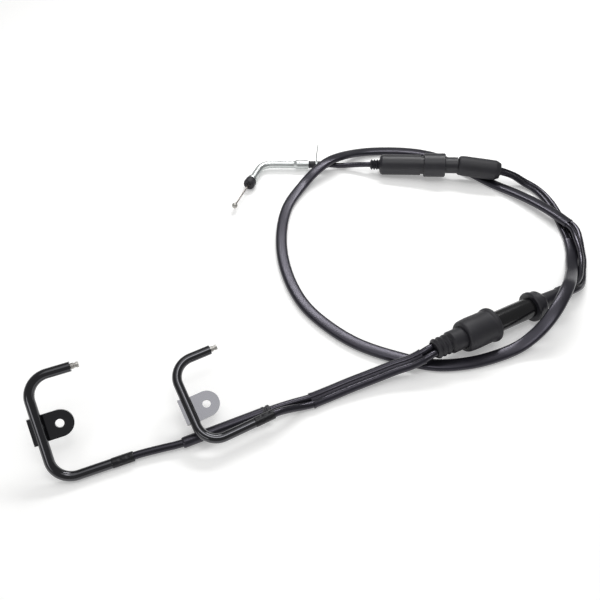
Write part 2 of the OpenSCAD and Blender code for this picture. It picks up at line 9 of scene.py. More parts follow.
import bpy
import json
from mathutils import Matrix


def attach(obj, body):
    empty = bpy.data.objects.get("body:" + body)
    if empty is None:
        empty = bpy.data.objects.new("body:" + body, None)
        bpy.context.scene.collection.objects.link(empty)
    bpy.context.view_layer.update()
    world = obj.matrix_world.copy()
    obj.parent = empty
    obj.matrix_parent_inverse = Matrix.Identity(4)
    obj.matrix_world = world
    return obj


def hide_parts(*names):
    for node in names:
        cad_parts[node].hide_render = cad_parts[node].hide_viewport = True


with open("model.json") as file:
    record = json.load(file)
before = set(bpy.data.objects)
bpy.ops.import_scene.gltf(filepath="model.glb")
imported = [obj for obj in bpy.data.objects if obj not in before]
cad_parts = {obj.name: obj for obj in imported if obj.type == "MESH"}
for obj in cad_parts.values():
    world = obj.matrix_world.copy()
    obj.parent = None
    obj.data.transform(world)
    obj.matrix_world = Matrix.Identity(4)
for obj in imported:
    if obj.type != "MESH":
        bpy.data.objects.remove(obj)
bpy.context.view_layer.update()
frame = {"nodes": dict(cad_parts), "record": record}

import json
from math import cos, pi, radians, sin

import bmesh
import bpy
from mathutils import Matrix, Vector

MM = 0.001
NODES = frame["nodes"]
print("CAD nodes:", len(NODES))

# %% [markdown]
# ## The camera and the studio
# The cable lies on white paper and is seen from the front, well above the table. A wide lens at
# a short distance makes the near pipes look larger than the far splitter, which is most of the
# perspective that the eye reads. A long, narrow softbox behind gives the shadows that spread
# towards the viewer. A square one overhead, two small ones and a dim white surround fill them,
# and the paper glows a little, so that it stays white where the light falls off.

# %% Camera
CAMERA_AT = Vector((-0.020, -0.325, 0.362))
LOOK_DOWN = 49
camera_data = bpy.data.cameras.new("studio_camera")
camera_data.sensor_width = 36
camera_data.lens = 36
camera_data.clip_start = 0.01
camera = bpy.data.objects.new("studio_camera", camera_data)
camera.location = CAMERA_AT
camera.rotation_euler = (radians(90 - LOOK_DOWN), 0, 0)
bpy.context.scene.collection.objects.link(camera)
bpy.context.scene.camera = camera
print("camera looks down", LOOK_DOWN, "degrees")


# %% Colour and node helpers
def srgb(code):
    """A six-digit hex colour as linear RGBA."""
    channels = [int(code[i:i + 2], 16) / 255 for i in (1, 3, 5)]
    return [c / 12.92 if c <= 0.04045 else ((c + 0.055) / 1.055) ** 2.4 for c in channels] + [1]


def add_node(material, kind, links=None, **settings):
    """Adds a node, sets its sockets and properties, and links other nodes' outputs to it."""
    node = material.node_tree.nodes.new(kind)
    for name, value in settings.items():
        if name in node.inputs:
            node.inputs[name].default_value = value
        elif name.replace("_", " ") in node.inputs:
            node.inputs[name.replace("_", " ")].default_value = value
        else:
            setattr(node, name, value)
    for name, output in (links or {}).items():
        material.node_tree.links.new(output, node.inputs[name])
    return node


# %% Lights and the paper
WORLD_STRENGTH = 0.30
PAPER_GLOW = 0.25
PAPER_HALF_WIDTH = 2.5
PAPER_DROP = 0.2 * MM
world = bpy.data.worlds.new("white_surround")
world.use_nodes = True
world.node_tree.nodes["Background"].inputs["Color"].default_value = (1, 1, 1, 1)
world.node_tree.nodes["Background"].inputs["Strength"].default_value = WORLD_STRENGTH
bpy.context.scene.world = world
bpy.context.scene.view_settings.view_transform = "Standard"


def soft_light(name, at, aim, width, depth, watts):
    """A rectangular softbox that points at a place on the table."""
    data = bpy.data.lights.new(name, "AREA")
    data.shape = "RECTANGLE"
    data.size = width
    data.size_y = depth
    data.energy = watts
    light = bpy.data.objects.new(name, data)
    light.location = at
    light.rotation_euler = (Vector(aim) - Vector(at)).to_track_quat("-Z", "Y").to_euler()
    bpy.context.scene.collection.objects.link(light)


soft_light("back_softbox", (0.10, 0.62, 0.75), (0.0, 0.0, 0.0), 0.60, 0.14, 4.2)
soft_light("top_softbox", (0.0, 0.0, 1.0), (0.0, 0.0, 0.0), 0.9, 0.9, 2.8)
soft_light("near_top_softbox", (0.11, -0.18, 0.9), (0.0, -0.05, 0.0), 0.22, 0.22, 0.7)
soft_light("front_softbox", (-0.45, -0.89, 0.42), (-0.1, -0.1, 0.0), 0.5, 0.22, 0.9)

sweep_mesh = bpy.data.meshes.new("paper_sweep")
sweep_bm = bmesh.new()
bmesh.ops.create_grid(sweep_bm, x_segments=1, y_segments=1, size=PAPER_HALF_WIDTH)
sweep_bm.to_mesh(sweep_mesh)
sweep_bm.free()
sweep = bpy.data.objects.new("paper_sweep", sweep_mesh)
sweep.location.z = -PAPER_DROP
bpy.context.scene.collection.objects.link(sweep)
paper = bpy.data.materials.new("white_paper")
paper.use_nodes = True
paper_shader = paper.node_tree.nodes["Principled BSDF"]
paper_shader.inputs["Base Color"].default_value = srgb("#f7f7f6")
paper_shader.inputs["Roughness"].default_value = 0.9
paper_shader.inputs["Emission Color"].default_value = (1, 1, 1, 1)
paper_shader.inputs["Emission Strength"].default_value = PAPER_GLOW
paper_fibre = add_node(paper, "ShaderNodeTexNoise", Scale=900.0, Detail=3.0)
paper_bump = add_node(paper, "ShaderNodeBump", {"Height": paper_fibre.outputs[0]}, Strength=0.05)
paper.node_tree.links.new(paper_bump.outputs[0], paper_shader.inputs["Normal"])
sweep_mesh.materials.append(paper)
print("softboxes:", len(bpy.data.lights), "and a sheet of paper", 2 * PAPER_HALF_WIDTH, "m wide")

# %% [markdown]
# ## The conduits' routes
# A conduit is a steel coil in an extruded jacket, so it can't kink: it leaves each fitting
# straight and lies in wide curves. Each route is a short list of places that the cable passes,
# with the roll of the flat pair about its own line, in degrees. The same places drive the CAD
# tubes, and here a spline through them gives the smooth line.

# %% Routes, in metres, with the roll in degrees
LEAD_ROUTE = [
    (0.006, 0.16, 0.006, 0), (0.019, 0.1604, 0.0046, 0), (0.034, 0.159, 0.0065, 0),
    (0.045, 0.1564, 0.0088, 0), (0.051, 0.1556, 0.0092, 0),
]
TWIN_ROUTE = [
    (0.1654, 0.1387, 0.0148, 0), (0.169, 0.138, 0.0146, 0), (0.175, 0.1372, 0.0132, 0),
    (0.1835, 0.137, 0.0095, 0), (0.1924, 0.1336, 0.0054, 0), (0.2022, 0.1263, 0.003, 0),
    (0.2092, 0.1117, 0.0024, 0), (0.2125, 0.094, 0.0024, 0), (0.2135, 0.076, 0.0024, 0),
    (0.2138, 0.0565, 0.0026, 0),
]
LOOP_ROUTE = [
    (0.2138, 0.0553, 0.0029, 0), (0.2115, 0.041, 0.0029, 0), (0.2075, 0.029, 0.004, 0),
    (0.202, 0.015, 0.008, 0), (0.195, 0.0015, 0.0145, 0), (0.1865, -0.0137, 0.0217, 0),
    (0.1775, -0.028, 0.0224, 0), (0.169, -0.0395, 0.02, 0), (0.1615, -0.0475, 0.0155, 0),
    (0.153, -0.054, 0.01, 0), (0.1415, -0.0605, 0.005, 0), (0.121, -0.0685, 0.0029, 0),
    (0.1, -0.074, 0.0029, 0), (0.077, -0.0752, 0.0029, 0), (0.05, -0.068, 0.0029, 0),
    (0.0234, -0.0565, 0.0029, 0), (0.0025, -0.0405, 0.0029, 0), (-0.0166, -0.018, 0.0029, 0),
    (-0.0303, 0.015, 0.0029, 0), (-0.0362, 0.056, 0.0029, 0), (-0.0314, 0.1, 0.003, 0),
    (-0.017, 0.1292, 0.0055, 0), (-0.0063, 0.1424, 0.0098, 0), (0.0072, 0.1556, 0.0128, 0),
    (0.021, 0.1674, 0.0106, 0), (0.0413, 0.1814, 0.005, 0), (0.0633, 0.1865, 0.0029, 0),
    (0.086, 0.1855, 0.0029, 0), (0.103, 0.182, 0.0029, 0), (0.1206, 0.1738, 0.0029, 0),
    (0.143, 0.154, 0.0029, 0), (0.1635, 0.1336, 0.0032, 0), (0.1795, 0.1191, 0.0046, 0),
    (0.1925, 0.1048, 0.0064, 0), (0.2023, 0.0916, 0.0078, 0), (0.2094, 0.0812, 0.0083, 0),
    (0.2158, 0.0712, 0.0083, 0),
]
TAIL_ROUTE = [
    (0.2159, 0.0706, 0.0083, 0), (0.2173, 0.0682, 0.0085, 0), (0.2185, 0.062, 0.0089, -8),
    (0.218, 0.052, 0.0086, -20), (0.2174, 0.041, 0.0072, -40), (0.216, 0.0295, 0.0056, -45),
    (0.2125, 0.018, 0.005, -50), (0.208, 0.0065, 0.006, -40), (0.203, -0.001, 0.0083, -25),
    (0.1975, -0.0059, 0.0104, -8), (0.1903, -0.0102, 0.0111, 0), (0.1864, -0.0123, 0.0112, 0),
]
STUB_ROUTE = [
    (0.0799, -0.0687, 0.0154, 0), (0.0755, -0.071, 0.0155, 0), (0.0715, -0.0731, 0.0149, 0),
    (0.0675, -0.0751, 0.0136, 0),
]
PAIR_ROUTE = [
    (0.0673, -0.0752, 0.0135, 0), (0.0585, -0.0785, 0.0109, 0), (0.0475, -0.0815, 0.0088, 0),
    (0.033, -0.0865, 0.0063, 0), (0.015, -0.0935, 0.0045, 0), (0.001, -0.0995, 0.0033, 0),
    (-0.012, -0.1055, 0.0032, 0),
]
BRANCH_A_ROUTE = [
    (-0.0133, -0.1033, 0.0032, 0), (-0.027, -0.1078, 0.0036, 0), (-0.04, -0.113, 0.004, 0),
    (-0.0685, -0.1255, 0.004, 0), (-0.097, -0.138, 0.004, 0), (-0.11, -0.1416, 0.0038, 0),
    (-0.124, -0.1456, 0.0036, 0), (-0.1349, -0.1499, 0.0035, 0),
]
BRANCH_B_ROUTE = [
    (-0.011, -0.1082, 0.0032, 0), (-0.0195, -0.1112, 0.0047, 0), (-0.027, -0.1147, 0.0077, 0),
    (-0.034, -0.1183, 0.0104, 0), (-0.039, -0.121, 0.011, 0), (-0.0448, -0.1241, 0.011, 0),
]


# %% [markdown]
# ## Finishes
# Most of this object is black, so the finishes are told apart by how they reflect. Extruded vinyl
# is satin and slightly wavy, moulded rubber is dull and fine-grained, nylon mouldings carry the
# grain of their tool, acetal tube is smooth, and the electrocoated steel pipes are as glossy as a
# piano. Plated steel, bare wire and cast zinc are the only bright surfaces outside.

# %% Material helpers
def new_material(name, hex_colour, metallic, roughness, ior=None):
    """A principled material with its flat values set on the shader's own sockets."""
    material = bpy.data.materials.new(name)
    material.use_nodes = True
    shader = material.node_tree.nodes["Principled BSDF"]
    shader.inputs["Base Color"].default_value = srgb(hex_colour)
    shader.inputs["Metallic"].default_value = metallic
    shader.inputs["Roughness"].default_value = roughness
    if ior:
        shader.inputs["IOR"].default_value = ior
    return material, shader


# The colour sockets of a Mix node, which has one set of sockets for each kind of value.
MIX_A, MIX_B, MIX_RESULT = 6, 7, 2


def grain(material, shader, size_mm, height, detail=3.0):
    """A bump of noise whose grains are size_mm across. Returns the node that gives the place."""
    place = add_node(material, "ShaderNodeTexCoord")
    noise = add_node(
        material, "ShaderNodeTexNoise", {"Vector": place.outputs["Object"]}, Scale=1000 / size_mm,
        Detail=detail,
    )
    bump = add_node(
        material, "ShaderNodeBump", {"Height": noise.outputs[0]}, Strength=height, Distance=0.0002
    )
    material.node_tree.links.new(bump.outputs[0], shader.inputs["Normal"])
    return place


def mottle(material, shader, place, size_mm, dark_hex, light_hex, rough_low, rough_high):
    """Slow changes of colour and roughness, as handling, dust and the mould leave them."""
    noise = add_node(
        material, "ShaderNodeTexNoise", {"Vector": place.outputs["Object"]}, Scale=1000 / size_mm, Detail=4.0
    )
    tint = add_node(material, "ShaderNodeMix", {"Factor": noise.outputs[0]}, data_type="RGBA")
    tint.inputs[MIX_A].default_value = srgb(dark_hex)
    tint.inputs[MIX_B].default_value = srgb(light_hex)
    rough = add_node(
        material, "ShaderNodeMapRange", {"Value": noise.outputs[0]}, To_Min=rough_low, To_Max=rough_high
    )
    material.node_tree.links.new(tint.outputs[MIX_RESULT], shader.inputs["Base Color"])
    material.node_tree.links.new(rough.outputs[0], shader.inputs["Roughness"])


# %% [markdown]
# The jackets are soft PVC, extruded through a die. The die leaves a satin skin with a waviness of
# about half a millimetre, and the pigment has a slight violet cast.

# %% Extruded vinyl
def extruded_vinyl(name, dark_hex, light_hex, rough_low, rough_high):
    """Satin vinyl whose highlights are tinted violet by its pigment."""
    material, shader = new_material(name, light_hex, 0, rough_high, 1.53)
    place = grain(material, shader, 0.6, 0.12)
    mottle(material, shader, place, 14, dark_hex, light_hex, rough_low, rough_high)
    shader.inputs["Specular Tint"].default_value = (0.88, 0.84, 1, 1)
    return material


jacket_vinyl = extruded_vinyl("extruded_pvc_jacket", "#101013", "#1a1a1f", 0.17, 0.26)
sleeve_vinyl = extruded_vinyl("vinyl_sleeving", "#151519", "#202026", 0.24, 0.35)
print("vinyls:", jacket_vinyl.name, sleeve_vinyl.name)

# %% [markdown]
# The boots and bellows are compression-moulded rubber: dull, with a fine bloom that lightens it
# in patches, and a grain of about a third of a millimetre from the blasted mould.

# %% Moulded rubber
moulded_rubber, rubber_shader = new_material("moulded_rubber", "#18171b", 0, 0.6, 1.52)
rubber_place = grain(moulded_rubber, rubber_shader, 0.35, 0.2)
mottle(moulded_rubber, rubber_shader, rubber_place, 9, "#131217", "#24232a", 0.46, 0.64)
print("rubber:", moulded_rubber.name)

# %% [markdown]
# The splitter and the junction's caps are moulded nylon from a spark-eroded tool, which gives an
# even grain and a broad, soft highlight. The junction's tube is turned acetal, smooth and dark,
# and the hidden sliders are undyed nylon.

# %% Nylon and acetal
grained_nylon, nylon_shader = new_material("spark_grained_nylon", "#19181d", 0, 0.45, 1.53)
nylon_place = grain(grained_nylon, nylon_shader, 0.25, 0.15)
mottle(grained_nylon, nylon_shader, nylon_place, 18, "#15141a", "#232229", 0.36, 0.48)

smooth_acetal, acetal_shader = new_material("smooth_acetal", "#0d0d0e", 0, 0.22, 1.48)
acetal_place = grain(smooth_acetal, acetal_shader, 1.5, 0.04)
mottle(smooth_acetal, acetal_shader, acetal_place, 20, "#0a0a0b", "#141416", 0.16, 0.26)

natural_nylon, slider_shader = new_material("natural_nylon", "#d9d5c8", 0, 0.4, 1.53)
slider_place = grain(natural_nylon, slider_shader, 0.5, 0.08)
mottle(natural_nylon, slider_shader, slider_place, 6, "#cfcabb", "#e2dfd4", 0.35, 0.45)
print("plastics:", grained_nylon.name, smooth_acetal.name, natural_nylon.name)

# %% [markdown]
# The bent pipes and brackets are steel dipped in black electrocoat and baked. The film flows out
# almost flat, so it shows long bright reflections, with a faint orange peel of about two
# millimetres. The crimped ferrules have a duller black.

# %% Black coats on steel
black_enamel, enamel_shader = new_material("black_electrocoat", "#060607", 0, 0.1, 1.55)
enamel_place = grain(black_enamel, enamel_shader, 2.0, 0.05, 1.0)
mottle(black_enamel, enamel_shader, enamel_place, 12, "#040405", "#0a0a0c", 0.07, 0.16)
enamel_shader.inputs["Specular Tint"].default_value = (0.9, 0.9, 1, 1)
enamel_shader.inputs["Coat Weight"].default_value = 0.5
enamel_shader.inputs["Coat Roughness"].default_value = 0.05

black_ferrule, ferrule_shader = new_material("black_ferrule_steel", "#151517", 0.4, 0.3)
ferrule_place = grain(black_ferrule, ferrule_shader, 0.3, 0.12)
mottle(black_ferrule, ferrule_shader, ferrule_place, 5, "#121214", "#242428", 0.24, 0.4)
print("black coats:", black_enamel.name, black_ferrule.name)

# %% [markdown]
# The elbow is steel tube with a bright zinc plate: pale, slightly blue, with soft cloudy patches
# where the passivation dried. The inner wire is galvanised strand, and its ends are die-cast zinc,
# greyer and matt.

# %% Bright metals
zinc_plate, zinc_shader = new_material("bright_zinc_plate", "#c9cccb", 1, 0.32)
zinc_place = grain(zinc_plate, zinc_shader, 0.4, 0.08)
mottle(zinc_plate, zinc_shader, zinc_place, 4, "#b3b8b7", "#d6d9d8", 0.26, 0.42)

galvanised_wire, wire_shader = new_material("galvanised_strand", "#a29c98", 1, 0.34)
wire_place = grain(galvanised_wire, wire_shader, 0.3, 0.15)
mottle(galvanised_wire, wire_shader, wire_place, 2, "#8d8683", "#b5b0ac", 0.28, 0.42)

cast_zinc, cast_shader = new_material("die_cast_zinc", "#b4b2ae", 1, 0.42)
cast_place = grain(cast_zinc, cast_shader, 0.35, 0.35)
mottle(cast_zinc, cast_shader, cast_place, 2.5, "#a09e9a", "#c6c4c0", 0.36, 0.52)
print("bright metals:", zinc_plate.name, galvanised_wire.name, cast_zinc.name)

FINISHES = {
    "rubber": moulded_rubber,
    "conduit_jacket": jacket_vinyl,
    "vinyl_sleeve": sleeve_vinyl,
    "moulded_plastic": grained_nylon,
    "gloss_tube": smooth_acetal,
    "slider_nylon": natural_nylon,
    "zinc_plate": zinc_plate,
    "wire_strand": galvanised_wire,
    "die_cast_zinc": cast_zinc,
    "black_paint": black_enamel,
    "black_ferrule": black_ferrule,
}

# %% Finishes on the CAD nodes
for row in frame["record"]["subparts"]:
    mesh = NODES[row["node"]].data
    mesh.materials.clear()
    mesh.materials.append(FINISHES[row["material_slot"]])
print("finishes:", len(FINISHES))


# %% [markdown]
# ## From a route to a smooth cable
# A spline through the route gives the line. It is walked in even steps, and at each step a frame
# says which way is across the cable and which is up, so a flat sleeve stays flat and a pair of
# conduits stays a pair.

# %% Spline helpers
CLOSEST = 3 * MM
DENSE_STEP = 0.5 * MM


def joined(*routes):
    """Routes end to end, without the points that nearly repeat the one before."""
    points = []
    for route in routes:
        for point in route:
            if not points or (Vector(point[:3]) - Vector(points[-1][:3])).length > CLOSEST:
                points.append(point)
    return [Vector(p) for p in points]


def between(a, b, t, low, high):
    """The mix of a and b at t, where low is all a and high is all b."""
    return a * ((high - t) / (high - low)) + b * ((t - low) / (high - low))


def spline(points, step):
    """Even steps along a centripetal spline through four-number points, the last being roll."""
    ends = [2 * points[0] - points[1]] + points + [2 * points[-1] - points[-2]]
    dense = []
    for q in zip(ends, ends[1:], ends[2:], ends[3:]):
        knots = [0]
        for a, b in zip(q, q[1:]):
            knots.append(knots[-1] + max((b - a).xyz.length, 1e-6) ** 0.5)
        count = max(4, int((q[2] - q[1]).xyz.length / DENSE_STEP))
        for i in range(count):
            t = knots[1] + (knots[2] - knots[1]) * i / count
            level = [between(q[k], q[k + 1], t, knots[k], knots[k + 1]) for k in range(3)]
            level = [between(level[k], level[k + 1], t, knots[k], knots[k + 2]) for k in range(2)]
            dense.append(between(level[0], level[1], t, knots[1], knots[2]))
    dense.append(points[-1])
    return even_steps(dense, step)


def even_steps(dense, step):
    """Points spaced evenly along a dense line."""
    lengths = [0]
    for a, b in zip(dense, dense[1:]):
        lengths.append(lengths[-1] + (b - a).xyz.length)
    count = max(2, round(lengths[-1] / step))
    out, k = [], 0
    for i in range(count + 1):
        want = lengths[-1] * i / count
        while k < len(dense) - 2 and lengths[k + 1] < want:
            k += 1
        span = max(lengths[k + 1] - lengths[k], 1e-9)
        out.append(dense[k].lerp(dense[k + 1], min(1, (want - lengths[k]) / span)))
    return out


def frames(line):
    """For each point: its place, and the directions across and over the cable."""
    out = []
    for i, point in enumerate(line):
        heading = (line[min(i + 1, len(line) - 1)] - line[max(i - 1, 0)]).xyz.normalized()
        side = Vector((0, 0, 1)).cross(heading).normalized()
        roll = radians(point[3])
        across = side * cos(roll) + heading.cross(side) * sin(roll)
        out.append((point.xyz, across, heading.cross(across)))
    return out


def beside(line, offset):
    """A line parallel to another, as its pair of conduits runs."""
    out = []
    for (place, across, _), point in zip(frames(line), line):
        moved = place + offset * across
        out.append(Vector((*moved, point[3])))
    return out


def run_length(line):
    """The length of a line, in metres."""
    return sum((b - a).xyz.length for a, b in zip(line, line[1:]))


# %% Meshes
SHARP_ANGLE = 38


def finished(name, vertices, faces, material):
    """A smooth-shaded mesh object in the scene."""
    mesh = bpy.data.meshes.new(name)
    mesh.from_pydata([tuple(v) for v in vertices], [], faces)
    bm = bmesh.new()
    bm.from_mesh(mesh)
    bmesh.ops.recalc_face_normals(bm, faces=bm.faces)
    bm.to_mesh(mesh)
    bm.free()
    mesh.shade_smooth()
    mesh.set_sharp_from_angle(angle=radians(SHARP_ANGLE))
    mesh.materials.append(material)
    piece = bpy.data.objects.new(name, mesh)
    bpy.context.scene.collection.objects.link(piece)
    return piece


def rings_to_mesh(name, rings, material, bored=False):
    """Joins rings with quads. It closes both ends with a fan, or joins them when bored through."""
    sides, count = len(rings[0]), len(rings)
    vertices = [p for ring in rings for p in ring]
    faces = []
    for i in range(count if bored else count - 1):
        here, there = i * sides, (i + 1) % count * sides
        for k in range(sides):
            after = (k + 1) % sides
            faces.append((here + k, here + after, there + after, there + k))
    if bored:
        return finished(name, vertices, faces, material)
    for start, ring in ((0, rings[0]), ((len(rings) - 1) * sides, rings[-1])):
        vertices.append(sum((Vector(p) for p in ring), Vector()) / sides)
        hub = len(vertices) - 1
        faces += [(hub, start + k, start + (k + 1) % sides) for k in range(sides)]
    return finished(name, vertices, faces, material)


def section_ring(frame_at, section):
    """A flat outline stood across the cable at one of its frames."""
    place, across, over = frame_at
    return [place + x * across + y * over for x, y in section]


def circle(radius, sides=20):
    """A round outline."""
    return [(radius * cos(2 * pi * k / sides), radius * sin(2 * pi * k / sides)) for k in range(sides)]


# Cut sleeving opens out a little at its mouths, to this many times its width.
FLARE = 1.06


def tube(name, line, section, material, mouth=0.0, inner=None):
    """A tube along a line. With mouth, its ends are hollow to that depth, as cut sleeving is."""
    at = frames(line)
    rings = [section_ring(f, section) for f in at]
    if mouth:
        step = run_length(line) / (len(line) - 1)
        deep = max(1, round(mouth / step))
        for i in (0, -1):
            rings[i] = section_ring(at[i], [(x * FLARE, y * FLARE) for x, y in section])
        start = [section_ring(at[i], inner) for i in range(deep, -1, -1)]
        end = [section_ring(at[-1 - i], inner) for i in range(deep + 1)]
        rings = start + rings + end
    return rings_to_mesh(name, rings, material)


# %% [markdown]
# ## The conduits and their sleeves
# Two conduits leave the splitter side by side, run together inside a flat vinyl sleeve all the
# way round the loop, come out again at its cut end, and enter the junction's right boot. Each is
# one piece about a metre long, although most of it is hidden. The sleeve is hollow at its
# mouths, where its wall shows as a thin rim round the two jackets.

# %% Measured from the conduits
TWIN_R = 2.25 * MM
TWIN_OFFSET = 2.3 * MM
BRANCH_R = 2.6 * MM
BRANCH_OFFSET = 2.75 * MM
LEAD_R = 2.5 * MM
LOOP_WIDTH, LOOP_THICKNESS = 9.8 * MM, 5.4 * MM
LOOP_INSIDE_WIDTH, LOOP_INSIDE_THICKNESS = 9.1 * MM, 4.8 * MM
STEP = 2.5 * MM
FLATNESS, VALLEY_SHARE = 1.6, 0.3


def sleeve_section(width, thickness, dimple, sides=36):
    """A flattened tube with a faint valley between the two conduits that it covers."""
    flat = (width - thickness) / 2
    points = []
    for k in range(sides):
        a = 2 * pi * (k + 0.5) / sides
        spread = max(-1.0, min(1.0, FLATNESS * cos(a)))
        x = flat * spread + thickness / 2 * cos(a)
        y = thickness / 2 * sin(a)
        valley = dimple * max(0.0, 1 - (x / (VALLEY_SHARE * width)) ** 2)
        points.append((x, y - valley * (1 if y > 0 else -1)))
    return points


loop_line = spline(joined(LOOP_ROUTE), STEP)
long_line = spline(joined(TWIN_ROUTE, LOOP_ROUTE, TAIL_ROUTE), STEP)
for label, sign in (("a", 1), ("b", -1)):
    line = beside(long_line, sign * TWIN_OFFSET)
    conduit = tube(f"long_conduit_{label}", line, circle(TWIN_R), jacket_vinyl)
    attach(conduit, "root")
    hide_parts(f"twin_conduit_{label}", f"tail_conduit_{label}")
    print("long conduit", label, round(run_length(line), 4), "m")

loop_skin = tube(
    "loop_sleeving", loop_line, sleeve_section(LOOP_WIDTH, LOOP_THICKNESS, 0.15 * MM), sleeve_vinyl,
    mouth=7 * MM, inner=sleeve_section(LOOP_INSIDE_WIDTH, LOOP_INSIDE_THICKNESS, 0.05 * MM),
)
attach(loop_skin, "root")
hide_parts("loop_sleeve")
print("loop sleeving", round(run_length(loop_line), 4), "m")


# %% [markdown]
# From the junction's left boot two thicker conduits set off under a figure-eight sleeve. Past
# its cut end they part: the long branch runs through a stiff guide tube to the far pipe, and the
# short one climbs into the crimp of the near pipe.

# %% Branches
PAIR_PITCH, PAIR_R, PAIR_INSIDE_R = 5.5 * MM, 3.05 * MM, 2.7 * MM
HUG, WAIST = 150, 0.45


def eight_section(pitch, radius, sides=20):
    """Thin sleeving shrunk round two conduits: it hugs each for HUG degrees, with a waist between."""
    points = []
    for sign, start in ((1, -HUG / 2), (-1, 180 - HUG / 2)):
        for k in range(sides + 1):
            a = radians(start + HUG * k / sides)
            points.append((sign * pitch / 2 + radius * cos(a), radius * sin(a)))
        points.append((0, sign * WAIST * radius))
    return points


for label, sign, last in (("a", -1, BRANCH_A_ROUTE), ("b", 1, BRANCH_B_ROUTE)):
    shared = beside(joined(STUB_ROUTE, PAIR_ROUTE), sign * BRANCH_OFFSET)
    line = spline(joined(shared, last), STEP)
    conduit = tube(f"branch_conduit_{label}_jacket", line, circle(BRANCH_R, 24), jacket_vinyl)
    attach(conduit, "root")
    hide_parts(f"branch_conduit_{label}", "stub_conduits")
    print("branch", label, round(run_length(line), 4), "m")

pair_line = spline(joined(PAIR_ROUTE), STEP)
pair_skin = tube(
    "pair_sleeving", pair_line, eight_section(PAIR_PITCH, PAIR_R), sleeve_vinyl,
    mouth=5 * MM, inner=eight_section(PAIR_PITCH, PAIR_INSIDE_R),
)
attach(pair_skin, "root")
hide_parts("pair_sleeve")

lead_line = spline(joined(LEAD_ROUTE), STEP)
lead = tube("lead_conduit_jacket", lead_line, circle(LEAD_R, 24), jacket_vinyl)
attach(lead, "root")
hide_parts("lead_conduit")
print("pair sleeving", round(run_length(pair_line), 4), "m, lead", round(run_length(lead_line), 4), "m")

# %% [markdown]
# ## Turned and moulded rubber
# Boots, bellows and caps are round about their cable, so each is an outline spun about an axis.
# The CAD pieces have straight folds and sharp corners. Real moulded rubber has a radius
# everywhere, so here the outlines get rounded corners and wavy folds.

# %% Spinning helpers
def placed(at, turn, climb=0):
    """The frame of a fitting: X runs along it, turned in plan and climbing, in millimetres."""
    return (
        Matrix.Translation(Vector(at) * MM)
        @ Matrix.Rotation(radians(turn), 4, "Z")
        @ Matrix.Rotation(radians(-climb), 4, "Y")
    )


def softened(outline, radius, steps=4):
    """The outline with each inner corner replaced by a small curve."""
    points = [Vector(p) for p in outline]
    out = [points[0]]
    for before, corner, after in zip(points, points[1:], points[2:]):
        back, on = before - corner, after - corner
        a = corner + back.normalized() * min(radius, back.length * 0.45)
        b = corner + on.normalized() * min(radius, on.length * 0.45)
        for i in range(steps + 1):
            t = i / steps
            out.append(a * (1 - t) ** 2 + corner * 2 * t * (1 - t) + b * t ** 2)
    return out + [points[-1]]


def spun(name, outline, at, material, sides=72, bored=False):
    """Spins (station, radius) points in millimetres about X. A bored piece has a hole through it."""
    rings = []
    for x, r in outline:
        rings.append([
            at @ Vector((x * MM, r * MM * cos(2 * pi * k / sides), r * MM * sin(2 * pi * k / sides)))
            for k in range(sides)
        ])
    return rings_to_mesh(name, rings, material, bored)


def folds(start, end, count, big, small, steps=8):
    """A wavy bellows outline between two stations, which starts and ends in a valley."""
    total = count * steps
    mean, swing = (big + small) / 2, (big - small) / 2
    return [
        (start + (end - start) * i / total, mean - swing * cos(2 * pi * i / steps))
        for i in range(total + 1)
    ]


def stands_for(piece, body, slot_name, *nodes):
    """Lets a piece ride and replace its CAD nodes. slot_name is not used."""
    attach(piece, body)
    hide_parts(*nodes)


ON_OUTLET_LEG = placed((-57, 160, 6), 250)
ON_SPLITTER = placed((48, 156, 9), -7.5, 4.8)
ON_JUNCTION = placed((75.5, -71, 15.6), 27.9, -2)
OUTLET_FROM = 84
ON_OUTLET_BOOT = Matrix.Translation(
    ON_SPLITTER @ Vector((OUTLET_FROM * MM, 0, 0))
) @ placed((0, 0, 0), -10.5, -2)

# %% [markdown]
# The bellows at each conduit port let the conduit bend where it enters, and keep water out. Each
# has three even folds, and a small lip at its mouth.

# %% Bellows and the inlet boot
inlet = spun(
    "inlet_bellows",
    [(0.6, 0), (0.3, 2.7), (0, 3.0)] + folds(0.2, 8, 3, 5, 3.7)
    + softened([(8, 3.8), (8.3, 4.6), (9, 4.4)], 0.3) + [(9, 0)],
    ON_SPLITTER, moulded_rubber,
)
stands_for(inlet, "root", "rubber", "inlet_boot")

left_folds = spun(
    "left_port_bellows",
    [(0.8, 0), (0.6, 5.3), (0, 5.6)] + folds(0.1, 12.6, 3, 7.5, 6.0) + [(13, 6.2), (13, 0)],
    ON_JUNCTION, moulded_rubber,
)
stands_for(left_folds, "root", "rubber", "left_bellows")

right_folds = spun(
    "right_port_bellows",
    [(119, 0), (119, 5.1)] + folds(119.1, 129.6, 3, 6.1, 5.2) + [(130, 5.0), (129.4, 4.7), (129.2, 0)],
    ON_JUNCTION, moulded_rubber,
)
stands_for(right_folds, "root", "rubber", "right_bellows")
print("bellows:", inlet.name, left_folds.name, right_folds.name)

# %% [markdown]
# The big boot covers the end of the acetal tube. It steps down at the left, where it grips the
# plug, and ends at the right in a thick bead that stretches over the tube. It is open right
# through, because the slider's wires move inside it.

